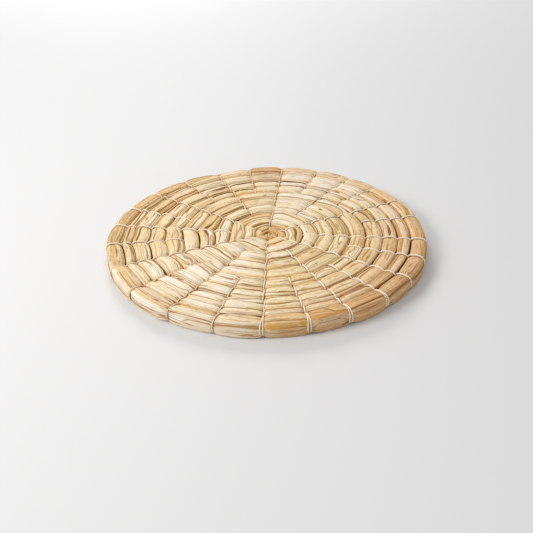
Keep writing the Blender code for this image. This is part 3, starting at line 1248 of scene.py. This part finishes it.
def dressCoil():
    leaves = layLeaves()
    colourOddLeaves(leaves)
    print(len(leaves), "leaves laid")
    group = leafTree()
    material = leafMaterial()
    fromTurn = -math.inf
    for name, toTurn in leafPieces:
        runs = [rings for turns, rings in leaves if fromTurn <= turns < toTurn]
        lines = makeLines(name, runs, leafVectors, leafNumbers)
        piece = grow(name, lines, group, {**leafForm, "Material": material})
        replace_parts(settle(piece), "seagrass_coil")
        fromTurn = toTurn
    lines = makeLines("bundle_inside", [coreRings()], ("side", "up"), ())
    inputs = {"Sides": core["sides"], "Fullness": core["fullness"], "Material": coreMaterial()}
    inside = grow("bundle_inside", lines, coreTree(), inputs)
    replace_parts(settle(inside), "seagrass_coil")
    print("leaves and inside made")


def sewCoil():
    lines = makeLines("twine_stitches", sewLoops(), (), ("thick", "tanned"), closed=True)
    inputs = {"Spacing": twine["spacing"], "Sides": twine["sides"], "Material": twineMaterial()}
    settle(grow("twine_stitches", lines, twineTree(), inputs))
    print("twine sewn")


studio = {
    "floorSize": 9.0,
    "floorColour": (0.725, 0.73, 0.745),
    "worldColour": (1.0, 0.985, 0.965),
    "worldStrength": 0.58,
}


def makeFloor():
    mesh = bpy.data.meshes.new("floor")
    half = studio["floorSize"] / 2.0
    corners = [(-half, -half, 0), (half, -half, 0), (half, half, 0), (-half, half, 0)]
    mesh.from_pydata(corners, [], [(0, 1, 2, 3)])
    floor = addObject("floor", mesh)
    material, tree, shader = newMaterial("pale_floor")
    shader.inputs["Base Color"].default_value = (*studio["floorColour"], 1.0)
    mesh.materials.append(material)


# Soft lights: where each one is, how far across it is, its power in watts and its colour.
lights = {
    "left": {"place": (-1.25, -0.42, 0.95), "size": 0.7, "power": 15.0, "colour": (1.0, 0.99, 0.96)},
    "back": {"place": (-0.5, 2.6, 1.5), "size": 1.2, "power": 38.0, "colour": (1.0, 0.99, 0.97)},
}


def makeLights():
    aim = Vector((0.0, 0.0, coil["thickness"]))
    for name, row in lights.items():
        lamp = bpy.data.lights.new(name, "AREA")
        lamp.shape = "DISK"
        lamp.size = row["size"]
        lamp.energy = row["power"]
        lamp.color = row["colour"]
        light = addObject(name, lamp)
        light.location = row["place"]
        light.rotation_euler = (aim - light.location).to_track_quat("-Z", "Y").to_euler()
    world = bpy.data.worlds.new("studio")
    bpy.context.scene.world = world
    world.use_nodes = True
    background = world.node_tree.nodes["Background"]
    background.inputs["Color"].default_value = (*studio["worldColour"], 1.0)
    background.inputs["Strength"].default_value = studio["worldStrength"]


# The photograph's view: the picture is 533 pixels square, and the mat's middle is at this pixel of it.
photoView = {
    "pictureSize": 533.0,
    "matPixel": (266.08, 238.51),
    "focalPixels": 798.9,
    "elevationDegrees": 29.33,
    "distance": 0.9582,
    "rollDegrees": 1.38,
    "sensorWidth": 36.0,
}


def makeCamera():
    view = photoView
    data = bpy.data.cameras.new("camera")
    data.sensor_width = view["sensorWidth"]
    data.lens = view["focalPixels"] / view["pictureSize"] * view["sensorWidth"]
    data.shift_x = (view["pictureSize"] / 2.0 - view["matPixel"][0]) / view["pictureSize"]
    data.shift_y = (view["matPixel"][1] - view["pictureSize"] / 2.0) / view["pictureSize"]
    camera = addObject("camera", data)
    elevation = math.radians(view["elevationDegrees"])
    back = Vector((0.0, -math.cos(elevation), math.sin(elevation)))
    aim = Vector((0.0, 0.0, coil["thickness"] / 2.0))
    turned = (-back).to_track_quat("-Z", "Y").to_matrix().to_4x4()
    roll = Matrix.Rotation(-math.radians(view["rollDegrees"]), 4, "Z")
    camera.matrix_world = Matrix.Translation(aim + back * view["distance"]) @ turned @ roll
    bpy.context.scene.camera = camera


makeCamera()
dressCoil()
sewCoil()
makeFloor()
makeLights()
bpy.context.scene.view_settings.view_transform = "Standard"
print("floor, lights and camera made")
